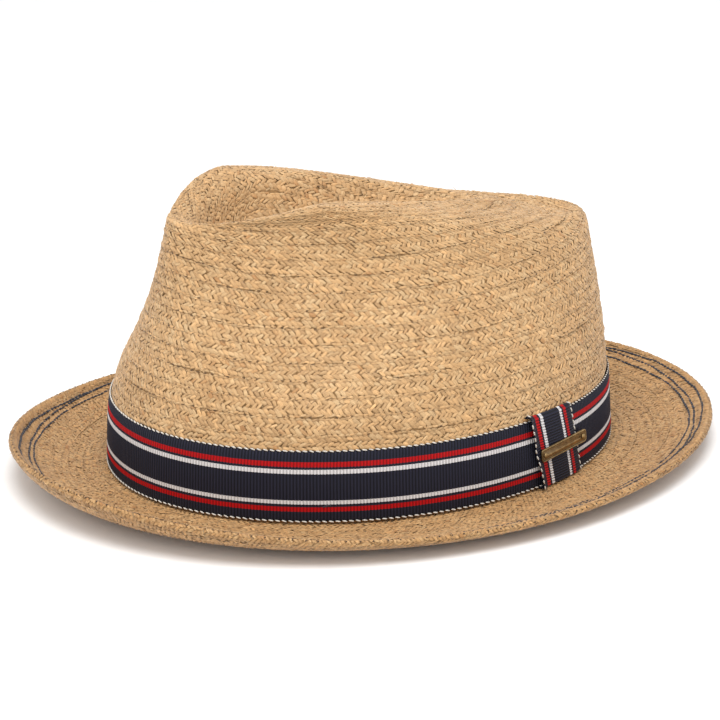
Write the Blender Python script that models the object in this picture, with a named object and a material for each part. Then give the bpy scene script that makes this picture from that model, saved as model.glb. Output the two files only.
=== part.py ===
"""A straw trilby: sewn raffia braid crown and brim, striped grosgrain ribbon with a keeper and plate.

Row frame: the hat's front is -Y, the wearer's left is +X, up is +Z. The origin is under the middle
of the hat, on the plane that the flat ring of the brim rests on. Lengths below are millimetres.
"""

import math

import bmesh
import bpy
import numpy as np

MM = 0.001

# Driving dimensions, in millimetres -------------------------------------------------------------
STEPS = 64                   # facets round the hat, shared by every ring so that their flats line up
GAP = 0.3                    # clearance between neighbouring solids
CROWN_Y = -2.5               # the crown's centre, a little forward of the brim's
BASE_HALF_LENGTH = 101.1     # crown outside, at the ribbon's lower edge
BASE_HALF_WIDTH = 83.8
BRAID = 1.6                  # thickness of one layer of braid
BRIM_TOP = 1.6               # top of the brim's flat ring; its underside is z = 0
RIBBON_LOW = 3.0             # the ribbon's lower edge, and the height that the crown's rings count from
RIBBON_HEIGHT = 25.5
RIBBON = 0.6                 # ribbon thickness
END_GAP = 0.6                # between the two ends of a strip that meet

EDGE_FRONT = 141.2           # brim edge, from the origin
EDGE_REAR = 142.2
EDGE_HALF_WIDTH = 116.6
EDGE_LIFT = (7.6, 2.8, 3.3, 1.1)   # edge height above RIBBON_LOW: mean, then cos, cos 2, cos 3 terms
FLAT_RING = 0.26             # share of the brim's width that stays flat
CURL = (0.4, 6.6)            # sharp rise at the brim's edge: rear, and what the front adds
CURL_REACH = 3.6             # how quickly that rise fades inwards
HEM_WIDTH = 10.0             # braid turned under along the edge
HEM = 1.1                    # thickness of the turned braid
EDGE_ROWS = (("outer", 3.5), ("middle", 7.0), ("inner", 10.5))   # stitching, in from the edge
HEM_ROWS = (("outer", 2.6), ("inner", 7.6))

# Crown rings, from the brim up over the rim and down into the hollow. Each row is:
# front reach, rear reach, widest point, half-width, front pinch, rear pinch, then the heights of
# the front, the sides and the rear above RIBBON_LOW.
CROWN_RINGS = (
    (-101.1, 101.1, 0, 83.8, 0, 0, -1.1, -1.1, -1.1),
    (-99.6, 99.6, 0, 82.2, 0, 0, 22, 22, 22),
    (-95.5, 99.4, 0, 79, 0, 0, 36.5, 36, 36.5),
    (-89.8, 99.3, 0, 71.5, 0.12, 0, 53, 50.5, 52),
    (-85, 99.1, -1, 61.5, 0.20, 0.02, 70, 66, 67.5),
    (-82, 98.9, -5, 51.5, 0.28, 0.13, 86, 82.5, 79),
    (-80.2, 90.8, -16, 45.5, 0.38, 0.44, 96, 97, 78),
    (-76, 76.5, -37, 37.6, 0.28, 0.64, 96.2, 104, 80.5),
    (-69.5, 58.5, -30, 26, 0.20, 0.62, 93, 101, 87),
    (-58, 36, -36, 18, 0.10, 0.40, 79, 87, 87),
    (-49, 14, -34, 8, 0, 0.20, 71, 77, 83),
    (-42, -20, -33, 1.5, 0, 0, 70, 73, 76),
)
RING_STEPS = 2               # facets between two crown rings
RIM_SOFTNESS = 0.18          # how softly a ring's front and rear slopes meet over its sides

KEEPER_ANGLE = 109.5         # degrees round the crown from the front
KEEPER_WIDTH = 25.0
KEEPER_LEAN = 5.4            # how far the keeper's top leans forward of its foot
PLATE = (28.0, 4.9, 0.9)     # length, height, thickness
PLATE_SHIFT = 3.1            # the plate's centre, to the rear of the keeper's
PLATE_TILT = 2.0             # degrees
PLATE_HOLES = 11.8           # from the plate's centre to each pin
PLATE_FIELD = 0.63           # thickness inside the plate's raised border
HOLE = 0.65                  # radius
PIN_SHANK = 0.35             # radius
PIN_HEAD = ((0.95, 0.0), (0.85, 0.3), (0.45, 0.5))   # radius, and height above the head's seat
TACKS = (55, 180, 235, 305)  # degrees round the crown from the front
TACK = (3.0, 0.5, 0.4)       # length, height, thickness
TACK_SHARE = 0.22            # how far up the ribbon the tacks lie

SWEATBAND_LOW = 1.7
SWEATBAND_TOP = 31.0
SWEATBAND = 0.8              # thickness
SWEATBAND_OFF = 0.4          # from the crown's inner face
BAND_STITCH = (2.3, 0.25)    # height above the sweatband's lower edge, thread radius
REED = (0.85, 0.5)           # height, and also depth from the crown's inner face; radius
TAPE = (180, 12.0, 6.0, 29.0, 0.35)    # angle, width, lower edge, upper edge, thickness
LABEL = (158, 14.0, 13.0, 23.0, 0.25)
THREAD = 0.3                 # sewing thread radius
THREAD_OFF = 0.2             # between a thread and the braid it holds


# Mesh helpers -----------------------------------------------------------------------------------
def clear_scene():
    for item in list(bpy.data.objects):
        bpy.data.objects.remove(item, do_unlink=True)


def make_material(name, colour, roughness, metallic=0.0):
    material = bpy.data.materials.new(name)
    material.use_nodes = True
    shader = material.node_tree.nodes["Principled BSDF"]
    shader.inputs["Base Color"].default_value = (*colour, 1.0)
    shader.inputs["Roughness"].default_value = roughness
    shader.inputs["Metallic"].default_value = metallic
    return material


def add_piece(name, points, faces, material, smooth_angle=40.0):
    """One closed body from points in millimetres, its faces turned outwards."""
    mesh = bpy.data.meshes.new(name)
    mesh.from_pydata([tuple(float(v) * MM for v in p) for p in points], [], faces)
    work = bmesh.new()
    work.from_mesh(mesh)
    bmesh.ops.recalc_face_normals(work, faces=work.faces)
    work.to_mesh(mesh)
    work.free()
    mesh.materials.append(material)
    mesh.shade_smooth()
    mesh.set_sharp_from_angle(angle=math.radians(smooth_angle))
    piece = bpy.data.objects.new(name, mesh)
    bpy.context.scene.collection.objects.link(piece)
    return piece


def swept(name, sections, material, closed=True):
    """Join like sections, each a loop of points, into a ring, or into a strip with two ends."""
    count = len(sections)
    size = len(sections[0])
    points = [p for section in sections for p in section]
    faces = []
    for i in range(count if closed else count - 1):
        near = i * size
        far = ((i + 1) % count) * size
        for j in range(size):
            k = (j + 1) % size
            faces.append((near + j, near + k, far + k, far + j))
    if not closed:
        faces.append(tuple(reversed(range(size))))
        faces.append(tuple((count - 1) * size + j for j in range(size)))
    return add_piece(name, points, faces, material)


def thread_ring(name, centres, radius, sides, material):
    """A closed round thread through the given centres."""
    centres = np.asarray(centres, float)
    along = np.roll(centres, -1, axis=0) - np.roll(centres, 1, axis=0)
    along /= np.linalg.norm(along, axis=1)[:, None]
    out = np.cross(along, (0.0, 0.0, 1.0))
    out /= np.linalg.norm(out, axis=1)[:, None]
    up = np.cross(out, along)
    turns = [2 * math.pi * k / sides for k in range(sides)]
    sections = [
        [c + radius * (math.cos(t) * o + math.sin(t) * u) for t in turns]
        for c, o, u in zip(centres, out, up)
    ]
    return swept(name, sections, material)


# The crown's surface ----------------------------------------------------------------------------
def spline(values, t):
    """A smooth curve through the values, at 0, 1, 2 and so on."""
    values = np.asarray(values, float)
    last = len(values) - 1
    i = int(min(math.floor(t), last - 1))
    f = t - i
    b = values[i]
    c = values[i + 1]
    a = values[i - 1] if i > 0 else 2 * b - c
    d = values[i + 2] if i + 2 <= last else 2 * c - b
    return 0.5 * (2 * b + (c - a) * f + (2 * a - 5 * b + 4 * c - d) * f**2 + (3 * b - a - 3 * c + d) * f**3)


def soft_size(c):
    """The size of c, rounded off at zero."""
    top = math.sqrt(1 + RIM_SOFTNESS**2) - RIM_SOFTNESS
    return (math.sqrt(c * c + RIM_SOFTNESS**2) - RIM_SOFTNESS) / top


def crown_point(angle, t):
    """The crown's outside at an angle from the front and a ring number."""
    front, rear, widest, half_width, pinch_front, pinch_rear, z_front, z_side, z_rear = (
        spline([ring[k] for ring in CROWN_RINGS], t) for k in range(9)
    )
    c = math.cos(angle)
    s = math.sin(angle)
    reach = widest - front if c > 0 else rear - widest
    pinch = pinch_front if c > 0 else pinch_rear
    x = half_width * s * (1 - pinch * c * c)
    y = CROWN_Y + widest - reach * c
    z = z_side + 0.5 * (z_front - z_rear) * c + (0.5 * (z_front + z_rear) - z_side) * soft_size(c)
    return np.array((x, y, RIBBON_LOW + z))


def crown_normal(angle, t):
    small = 1e-3
    top = len(CROWN_RINGS) - 1
    along = crown_point(angle + small, t) - crown_point(angle - small, t)
    up = crown_point(angle, min(t + small, top)) - crown_point(angle, max(t - small, 0))
    normal = np.cross(along, up)
    return normal / np.linalg.norm(normal)


def wall_point(angle, z, out=0.0):
    """A point beside the crown's wall at a height, moved straight out from the outside face."""
    low = 0.0
    high = 3.0
    for _ in range(30):
        middle = 0.5 * (low + high)
        if crown_point(angle, middle)[2] < z:
            low = middle
        else:
            high = middle
    at = crown_point(angle, low)
    normal = crown_normal(angle, low)
    side = np.array((normal[0], normal[1], 0.0))
    return np.array((at[0], at[1], z)) + out * side / np.linalg.norm(side)


def angles(count=STEPS):
    return [2 * math.pi * i / count for i in range(count)]


def arc_angles(centre, length, count):
    """Angles for a strip of a given length along the crown's base, centred on an angle."""
    pace = math.hypot(BASE_HALF_WIDTH * math.cos(centre), BASE_HALF_LENGTH * math.sin(centre))
    half = 0.5 * length / pace
    return [centre - half + 2 * half * i / count for i in range(count + 1)]


def crown_body(material):
    rings = (len(CROWN_RINGS) - 1) * RING_STEPS + 1
    points = []
    for layer in (0.0, -BRAID):
        for j in range(rings):
            t = j / RING_STEPS
            for a in angles():
                points.append(crown_point(a, t) + layer * crown_normal(a, t))
    for j in range(STEPS):
        points[rings * STEPS + j][2] = points[j][2]
    faces = []
    for layer in range(2):
        base = layer * rings * STEPS
        for j in range(rings - 1):
            for i in range(STEPS):
                k = (i + 1) % STEPS
                row = base + j * STEPS
                faces.append((row + i, row + k, row + STEPS + k, row + STEPS + i))
        faces.append(tuple(base + (rings - 1) * STEPS + i for i in range(STEPS)))
    for i in range(STEPS):
        k = (i + 1) % STEPS
        inner = rings * STEPS
        faces.append((i, inner + i, inner + k, k))
    return add_piece("crown_body", points, faces, material)


# The brim's surface -----------------------------------------------------------------------------
def brim_lift(angle):
    return RIBBON_LOW + sum(size * math.cos(k * angle) for k, size in enumerate(EDGE_LIFT))


def brim_middle(angle, share):
    """The middle of the brim's braid, from its inner edge (0) to its outer edge (1)."""
    inner = wall_point(angle, BRIM_TOP + GAP, -BRAID)
    reach = EDGE_FRONT if math.cos(angle) > 0 else EDGE_REAR
    outer = np.array((EDGE_HALF_WIDTH * math.sin(angle), -reach * math.cos(angle), 0.0))
    width = math.hypot(outer[0] - inner[0], outer[1] - inner[1])
    flat = 0.5 * BRIM_TOP
    curl = CURL[0] + CURL[1] * ((1 + math.cos(angle)) / 2) ** 3
    rise = brim_lift(angle) - flat - curl
    past = max(0.0, (share - FLAT_RING) / (1 - FLAT_RING))
    edge = math.exp(-(1 - share) * width / CURL_REACH) * min(1.0, past * 4)
    z = flat + rise * past**1.6 + curl * edge
    at = inner + share * (outer - inner)
    return np.array((at[0], at[1], z))


def brim_normal(angle, share):
    small = 1e-3
    if share <= FLAT_RING:
        return np.array((0.0, 0.0, 1.0))
    along = brim_middle(angle + small, share) - brim_middle(angle - small, share)
    out = brim_middle(angle, min(share + small, 1)) - brim_middle(angle, share - small)
    normal = np.cross(out, along)
    return normal / np.linalg.norm(normal)


def brim_at(angle, share, above):
    """A point above (or below) the middle of the brim's braid."""
    return brim_middle(angle, share) + above * brim_normal(angle, share)


def share_from_edge(angle, distance):
    """How far out on the brim a point lies that is a given distance in from the edge."""
    width = np.linalg.norm(brim_middle(angle, 1.0)[:2] - brim_middle(angle, 0.0)[:2])
    return 1 - distance / width


def brim(material):
    half = 0.5 * BRIM_TOP
    shares = (0, 0.13, FLAT_RING, 0.45, 0.62, 0.76, 0.86, 0.94, 1.0)
    sections = []
    for a in angles():
        top = [brim_at(a, s, half) for s in shares]
        under = [brim_at(a, s, -half) for s in reversed(shares)]
        sections.append(top + under)
    return swept("brim", sections, material)


def brim_hem(material):
    top = -0.5 * BRIM_TOP - GAP
    under = top - HEM
    sections = []
    for a in angles():
        shares = [share_from_edge(a, d) for d in (0.4, 3.0, 6.0, HEM_WIDTH * 0.9)]
        face = [brim_at(a, s, top) for s in shares]
        back = [brim_at(a, s, under) for s in reversed(shares)]
        sections.append(face + back)
    return swept("brim_hem", sections, material)


def brim_thread(name, distance, above, material):
    """One row of stitching that runs round the brim at a distance in from its edge."""
    centres = [brim_at(a, share_from_edge(a, distance), above) for a in angles()]
    return thread_ring(name, centres, THREAD, 3, material)


# Ribbon, keeper and plate -----------------------------------------------------------------------
def wall_section(angle, outline):
    """A section of a strip on the crown's wall, from pairs of distance out and height."""
    return [wall_point(angle, z, out) for out, z in outline]


def ribbon_band(material):
    """The ribbon's ends butt together under the keeper."""
    heights = [RIBBON_LOW + RIBBON_HEIGHT * k / 3 for k in range(4)]
    outline = [(GAP, z) for z in heights] + [(GAP + RIBBON, z) for z in reversed(heights)]
    joint = math.radians(KEEPER_ANGLE)
    ends = 0.5 * END_GAP / BASE_HALF_LENGTH
    between = [a for a in angles() if abs(a - joint) > 0.03]
    between = [a for a in between if a > joint] + [a + 2 * math.pi for a in between if a < joint]
    route = [joint + ends] + between + [joint + 2 * math.pi - ends]
    return swept("ribbon_band", [wall_section(a, outline) for a in route], material, closed=False)


def keeper_section(angle):
    """The keeper goes over the ribbon's face and turns in over both its edges."""
    face = GAP + RIBBON + GAP
    low = RIBBON_LOW - GAP
    high = RIBBON_LOW + RIBBON_HEIGHT + GAP
    outline = (
        (GAP + 0.1, low - RIBBON),
        (face + RIBBON, low - RIBBON),
        (face + RIBBON, 0.5 * (low + high)),
        (face + RIBBON, high + RIBBON),
        (GAP, high + RIBBON),
        (GAP, high),
        (face, high),
        (face, 0.5 * (low + high)),
        (face, low),
        (GAP + 0.1, low),
    )
    pace = math.hypot(BASE_HALF_WIDTH * math.cos(angle), BASE_HALF_LENGTH * math.sin(angle))
    middle = 0.5 * (low + high)
    section = []
    for out, z in outline:
        lean = KEEPER_LEAN * (middle - z) / RIBBON_HEIGHT / pace
        section.append(wall_point(angle + lean, z, out))
    return section


def ribbon_keeper(material):
    route = arc_angles(math.radians(KEEPER_ANGLE), KEEPER_WIDTH, 6)
    return swept("ribbon_keeper", [keeper_section(a) for a in route], material, closed=False)


def plate_frame():
    """The plate's centre on the keeper's face, and its length, height and outward directions."""
    pace = math.hypot(
        BASE_HALF_WIDTH * math.cos(math.radians(KEEPER_ANGLE)),
        BASE_HALF_LENGTH * math.sin(math.radians(KEEPER_ANGLE)),
    )
    angle = math.radians(KEEPER_ANGLE) + PLATE_SHIFT / pace
    z = RIBBON_LOW + 0.5 * RIBBON_HEIGHT
    face = 3 * GAP + 2 * RIBBON
    centre = wall_point(angle, z, face)
    along = wall_point(angle + 0.01, z, face) - wall_point(angle - 0.01, z, face)
    along /= np.linalg.norm(along)
    up = wall_point(angle, z + 5, face) - wall_point(angle, z - 5, face)
    up -= np.dot(up, along) * along
    up /= np.linalg.norm(up)
    tilt = math.radians(PLATE_TILT)
    length = math.cos(tilt) * along + math.sin(tilt) * up
    height = math.cos(tilt) * up - math.sin(tilt) * along
    out = np.cross(length, height)
    return centre, length, height, out


def rounded_outline(length, height, radius, steps=3):
    """A rectangle with round corners, about its centre."""
    outline = []
    for quarter, (x, y) in enumerate(((1, 1), (-1, 1), (-1, -1), (1, -1))):
        for k in range(steps + 1):
            turn = math.pi / 2 * (quarter + k / steps)
            outline.append((
                x * (0.5 * length - radius) + radius * math.cos(turn),
                y * (0.5 * height - radius) + radius * math.sin(turn),
            ))
    return outline


def place(frame, points):
    centre, length, height, out = frame
    return [centre + x * length + y * height + z * out for x, y, z in points]


def metal_plate(material, frame):
    """A bar with round corners and a raised border, with a hole near each end."""
    length, height, thick = PLATE
    outer = rounded_outline(length, height, 1.2)
    inner = rounded_outline(length - 0.8, height - 0.8, 0.9)
    loops = ((outer, 0.0), (outer, thick), (inner, thick), (inner, PLATE_FIELD))
    size = len(outer)
    points = [(x, y, z) for loop, z in loops for x, y in loop]
    faces = [tuple(reversed(range(size))), tuple(3 * size + i for i in range(size))]
    for level in range(3):
        for i in range(size):
            k = (i + 1) % size
            row = level * size
            faces.append((row + i, row + k, row + size + k, row + size + i))
    plate = add_piece("metal_plate", place(frame, points), faces, material)
    for side in (-1, 1):
        sides = 12
        cutter_points = []
        for z in (-1.0, 2.0):
            for k in range(sides):
                turn = 2 * math.pi * k / sides
                x = side * PLATE_HOLES + HOLE * math.cos(turn)
                cutter_points.append((x, HOLE * math.sin(turn), z))
        walls = [(k, (k + 1) % sides, sides + (k + 1) % sides, sides + k) for k in range(sides)]
        caps = [tuple(reversed(range(sides))), tuple(sides + k for k in range(sides))]
        cutter = add_piece(f"hole_cutter_{side}", place(frame, cutter_points), walls + caps, material)
        cutter.hide_render = True
        cutter.display_type = "WIRE"
        cut = plate.modifiers.new("hole", "BOOLEAN")
        cut.operation = "DIFFERENCE"
        cut.object = cutter
    return plate


def plate_pin(name, side, material, frame):
    """A domed rivet head outside the plate, on a shank that stops at the ribbon."""
    seat = PLATE_FIELD + GAP
    profile = [(PIN_SHANK, 0.0), (PIN_SHANK, seat)] + [(radius, seat + z) for radius, z in PIN_HEAD]
    sides = 10
    points = []
    for radius, z in profile:
        for k in range(sides):
            turn = 2 * math.pi * k / sides
            points.append((side * PLATE_HOLES + radius * math.cos(turn), radius * math.sin(turn), z))
    faces = [tuple(reversed(range(sides))), tuple(4 * sides + k for k in range(sides))]
    for level in range(4):
        for k in range(sides):
            n = (k + 1) % sides
            row = level * sides
            faces.append((row + k, row + n, row + sides + n, row + sides + k))
    return add_piece(name, place(frame, points), faces, material)


def ribbon_tack(number, angle, material):
    """A short bar of thread that holds the ribbon's lower stripe to the straw."""
    length, height, thick = TACK
    z = RIBBON_LOW + RIBBON_HEIGHT * TACK_SHARE
    out = GAP + RIBBON + GAP
    route = arc_angles(angle, length, 2)
    outline = ((out, z), (out, z + height), (out + thick, z + height), (out + thick, z))
    return swept(f"ribbon_tack_{number}", [wall_section(a, outline) for a in route], material, closed=False)


# Inside the crown -------------------------------------------------------------------------------
def inside(angle, z, depth):
    """A point inside the crown, a depth in from its inner face."""
    low = BRIM_TOP + GAP
    return wall_point(angle, max(z, low), -BRAID - depth) + np.array((0, 0, min(0.0, z - low)))


def sweatband(material):
    """A strip whose ends butt together at the back."""
    heights = [SWEATBAND_LOW + (SWEATBAND_TOP - SWEATBAND_LOW) * k / 3 for k in range(4)]
    inner = SWEATBAND_OFF + SWEATBAND
    outline = [(SWEATBAND_OFF, z) for z in heights] + [(inner, z) for z in reversed(heights)]
    ends = 0.5 * END_GAP / BASE_HALF_WIDTH
    route = [math.pi + ends]
    route += [math.pi + 2 * math.pi * i / STEPS for i in range(1, STEPS)]
    route += [3 * math.pi - ends]
    sections = [[inside(a, z, depth) for depth, z in outline] for a in route]
    return swept("sweatband", sections, material, closed=False)


def sweatband_reed(material):
    place_at, radius = REED
    centres = [inside(a, place_at, place_at) for a in angles()]
    return thread_ring("sweatband_reed", centres, radius, 5, material)


def sweatband_stitching(material):
    height, radius = BAND_STITCH
    depth = SWEATBAND_OFF + SWEATBAND + GAP + radius
    centres = [inside(a, SWEATBAND_LOW + height, depth) for a in angles()]
    return thread_ring("sweatband_stitching", centres, radius, 3, material)


def inner_patch(name, size, material):
    """A flat piece of cloth on the sweatband's inner face."""
    degrees, width, low, high, thick = size
    near = SWEATBAND_OFF + SWEATBAND + GAP
    outline = ((near, low), (near, high), (near + thick, high), (near + thick, low))
    route = arc_angles(math.radians(degrees), width, 3)
    sections = [[inside(a, z, depth) for depth, z in outline] for a in route]
    return swept(name, sections, material, closed=False)


# The hat ----------------------------------------------------------------------------------------
def build():
    clear_scene()
    straw = make_material("raffia", (0.63, 0.42, 0.21), 0.7)
    navy_thread = make_material("navy_thread", (0.02, 0.025, 0.06), 0.6)
    tan_thread = make_material("tan_thread", (0.45, 0.29, 0.14), 0.6)
    ribbon = make_material("ribbon", (0.025, 0.03, 0.07), 0.55)
    brass = make_material("antique_brass", (0.35, 0.24, 0.10), 0.4, 1.0)
    cloth = make_material("sweatband_cloth", (0.05, 0.045, 0.04), 0.85)
    label = make_material("label_cloth", (0.75, 0.72, 0.65), 0.7)

    crown_body(straw)
    brim(straw)
    brim_hem(straw)
    above = 0.5 * BRIM_TOP + THREAD + THREAD_OFF
    for name, distance in EDGE_ROWS:
        brim_thread(f"edge_stitch_{name}", distance, above, navy_thread)
    below = -0.5 * BRIM_TOP - GAP - HEM - THREAD - THREAD_OFF
    for name, distance in HEM_ROWS:
        brim_thread(f"hem_stitch_{name}", distance, below, tan_thread)

    ribbon_band(ribbon)
    ribbon_keeper(ribbon)
    frame = plate_frame()
    metal_plate(brass, frame)
    plate_pin("plate_pin_front", -1, brass, frame)
    plate_pin("plate_pin_rear", 1, brass, frame)
    for number, degrees in enumerate(TACKS, start=1):
        ribbon_tack(number, math.radians(degrees), navy_thread)

    sweatband(cloth)
    sweatband_reed(tan_thread)
    sweatband_stitching(tan_thread)
    inner_patch("joint_tape", TAPE, cloth)
    inner_patch("size_label", LABEL, label)


build()
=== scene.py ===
import math

import bmesh
import bpy
import numpy as np
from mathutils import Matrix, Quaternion, Vector


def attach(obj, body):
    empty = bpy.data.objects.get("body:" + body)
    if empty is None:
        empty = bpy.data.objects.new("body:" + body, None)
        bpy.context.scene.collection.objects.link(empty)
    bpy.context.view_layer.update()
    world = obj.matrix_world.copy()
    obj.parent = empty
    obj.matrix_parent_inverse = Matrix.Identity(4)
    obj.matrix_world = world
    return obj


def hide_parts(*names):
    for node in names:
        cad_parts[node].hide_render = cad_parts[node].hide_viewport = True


# The looks of a plaited raffia hat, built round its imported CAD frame. Lengths are in millimetres here, with
# the hat's front towards -Y and the wearer's left towards +X, and become metres where a mesh is written.

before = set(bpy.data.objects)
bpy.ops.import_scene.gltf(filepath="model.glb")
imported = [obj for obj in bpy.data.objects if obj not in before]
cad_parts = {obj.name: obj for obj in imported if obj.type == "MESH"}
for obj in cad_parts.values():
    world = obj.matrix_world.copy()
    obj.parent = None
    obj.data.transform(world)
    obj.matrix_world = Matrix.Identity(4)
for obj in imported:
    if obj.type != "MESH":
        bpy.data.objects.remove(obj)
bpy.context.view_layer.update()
MM = 0.001

# The CAD part's driving dimensions, repeated.
CROWN_Y = -2.5
BASE_HALF_LENGTH = 101.1
BASE_HALF_WIDTH = 83.8
BRAID = 1.6
RIBBON_LOW = 3.0
RIBBON_HEIGHT = 25.5
EDGE_FRONT = 141.2
EDGE_REAR = 142.2
EDGE_HALF_WIDTH = 116.6
EDGE_LIFT = (7.6, 2.8, 3.3, 1.1)
FLAT_RING = 0.26
CURL = (0.4, 6.6)
CURL_REACH = 3.6
RIM_SOFTNESS = 0.18
CROWN_RINGS = (
    (-101.1, 101.1, 0, 83.8, 0, 0, -1.1, -1.1, -1.1),
    (-99.6, 99.6, 0, 82.2, 0, 0, 22, 22, 22),
    (-95.5, 99.4, 0, 79, 0, 0, 36.5, 36, 36.5),
    (-89.8, 99.3, 0, 71.5, 0.12, 0, 53, 50.5, 52),
    (-85, 99.1, -1, 61.5, 0.20, 0.02, 70, 66, 67.5),
    (-82, 98.9, -5, 51.5, 0.28, 0.13, 86, 82.5, 79),
    (-80.2, 90.8, -16, 45.5, 0.38, 0.44, 96, 97, 78),
    (-76, 76.5, -37, 37.6, 0.28, 0.64, 96.2, 104, 80.5),
    (-69.5, 58.5, -30, 26, 0.20, 0.62, 93, 101, 87),
    (-58, 36, -36, 18, 0.10, 0.40, 79, 87, 87),
    (-49, 14, -34, 8, 0, 0.20, 71, 77, 83),
    (-42, -20, -33, 1.5, 0, 0, 70, 73, 76),
    (-40.5, -21.5, -33, 0.1, 0, 0, 70, 73, 76),
)
MID_RIBBON = 0.5 * RIBBON_HEIGHT
KEEPER_ANGLE = math.radians(109.5)
KEEPER_WIDTH = 25.0
KEEPER_LEAN = 5.4
PLATE = (28.0, 4.9, 0.9)
PLATE_SHIFT = 3.1
PLATE_TILT = math.radians(2.0)
PLATE_HOLES = 11.8
SWEATBAND_LOW = 1.7
SWEATBAND_TOP = 31.0

# The braid.
ROW = 6.4                    # height of one row of braid
CELL = 2.0                   # length of the plait's repeat along the row
STRAW_WIDTH = 1.3
STRAW_THICK = 0.42


# Surfaces.
def unit(v):
    return v / np.maximum(np.linalg.norm(v, axis=-1, keepdims=True), 1e-9)


def spline(values, t):
    """A smooth curve through the values, at 0, 1, 2 and so on."""
    values = np.asarray(values, float)
    last = len(values) - 1
    i = np.clip(np.floor(t).astype(int), 0, last - 1)
    f = t - i
    b = values[i]
    c = values[i + 1]
    a = np.where(i > 0, values[np.maximum(i - 1, 0)], 2 * b - c)
    d = np.where(i + 2 <= last, values[np.minimum(i + 2, last)], 2 * c - b)
    return 0.5 * (2 * b + (c - a) * f + (2 * a - 5 * b + 4 * c - d) * f**2 + (3 * b - a - 3 * c + d) * f**3)


def crown_points(angle, t):
    """The crown's outside face at angles from the front and ring numbers."""
    front, rear, widest, half_width, pinch_front, pinch_rear, z_front, z_side, z_rear = (
        spline([ring[k] for ring in CROWN_RINGS], t) for k in range(9)
    )
    c = np.cos(angle)
    ahead = c > 0
    pinch = np.where(ahead, pinch_front, pinch_rear)
    reach = np.where(ahead, widest - front, rear - widest)
    soft = (np.sqrt(c * c + RIM_SOFTNESS**2) - RIM_SOFTNESS) / (math.sqrt(1 + RIM_SOFTNESS**2) - RIM_SOFTNESS)
    x = half_width * np.sin(angle) * (1 - pinch * c * c)
    y = CROWN_Y + widest - reach * c
    z = z_side + 0.5 * (z_front - z_rear) * c + (0.5 * (z_front + z_rear) - z_side) * soft
    return np.stack([x, y, RIBBON_LOW + z], axis=-1)


def along_columns(points, own, wanted):
    """Points at the wanted distances along each column of a grid, whose own distances are given too."""
    out = np.empty((len(points), len(wanted), 3))
    for i in range(len(points)):
        for k in range(3):
            out[i, :, k] = np.interp(wanted, own[i], points[i, :, k])
    return out


class Face:
    """A surface as a closed grid: evenly spaced turns round it, and distance v across its rows of braid."""

    def __init__(self, points, v_start, v_step, outward=1.0):
        count = len(points)
        even = np.arange(count) / count
        grid = np.empty_like(points)
        self.girth = np.empty(points.shape[1])
        self.turn_of_angle = np.empty((count + 1, points.shape[1]))
        for j in range(points.shape[1]):
            ring = np.concatenate([points[:, j], points[:1, j]])
            steps = np.linalg.norm(np.diff(ring, axis=0), axis=1)
            along = np.concatenate([[0], np.cumsum(steps)])
            self.girth[j] = along[-1]
            self.turn_of_angle[:, j] = along / along[-1]
            for k in range(3):
                grid[:, j, k] = np.interp(even * along[-1], along, ring[:, k])
        around = np.roll(grid, -1, axis=0) - np.roll(grid, 1, axis=0)
        across = np.gradient(grid, axis=1)
        self.grid = grid
        self.outward = outward
        self.normal = outward * unit(np.cross(around, across))
        self.v_start = v_start
        self.v_step = v_step
        self.v_end = v_start + v_step * (points.shape[1] - 1)

    def girth_at(self, v):
        steps = self.v_start + self.v_step * np.arange(len(self.girth))
        return np.interp(v, steps, self.girth)

    def turn_at(self, angle, v):
        """How many turns round the face an angle from the front is."""
        row = min(int((v - self.v_start) / self.v_step), len(self.girth) - 1)
        whole = np.arange(TURNS + 1) * 2 * math.pi / TURNS
        return float(np.interp(angle, whole, self.turn_of_angle[:, row]))

    def at(self, turn, v, above=0.0):
        """Points at turns round and distances across, a height above the face."""
        count, rows = self.grid.shape[:2]
        x = np.mod(turn, 1.0) * count
        i = np.floor(x).astype(int) % count
        fx = (x - np.floor(x))[..., None]
        y = np.clip((v - self.v_start) / self.v_step, 0, rows - 1.001)
        j = np.floor(y).astype(int)
        fy = (y - j)[..., None]
        place = 0
        normal = 0
        for b, share_b in ((j, 1 - fy), (j + 1, fy)):
            for a, share_a in ((i, 1 - fx), ((i + 1) % count, fx)):
                place = place + share_a * share_b * self.grid[a, b]
                normal = normal + share_a * share_b * self.normal[a, b]
        return place + unit(normal) * np.asarray(above, float)[..., None]


TURNS = 1440
ANGLES = 2 * math.pi * np.arange(TURNS) / TURNS
FACE_STEP = 0.5


def crown_faces():
    """The crown's outside and inside faces, with rows of braid at even distances up from the base."""
    t = np.linspace(0, len(CROWN_RINGS) - 1, 500)
    points = crown_points(ANGLES[:, None], np.broadcast_to(t, (TURNS, len(t))))
    steps = np.linalg.norm(np.diff(points, axis=1), axis=2)
    climb = np.concatenate([np.zeros((TURNS, 1)), np.cumsum(steps, axis=1)], axis=1)
    whole = climb[:, -1]
    rows = round(whole.mean() / ROW)
    # Low rows keep an even height; towards the tip each column shares out what is left.
    even_to = 88.0
    share = np.clip((climb - even_to) / (whole[:, None] - even_to), 0, 1)
    v = climb + (rows * ROW - whole[:, None]) * share * share * (3 - 2 * share)
    v = np.maximum.accumulate(v, axis=1)
    wanted = np.arange(0, rows * ROW, FACE_STEP)
    face = Face(along_columns(points, v, wanted), 0.0, FACE_STEP)
    inside = face.grid - BRAID * face.normal
    return face, Face(inside, 0.0, FACE_STEP, -1.0), rows


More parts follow.
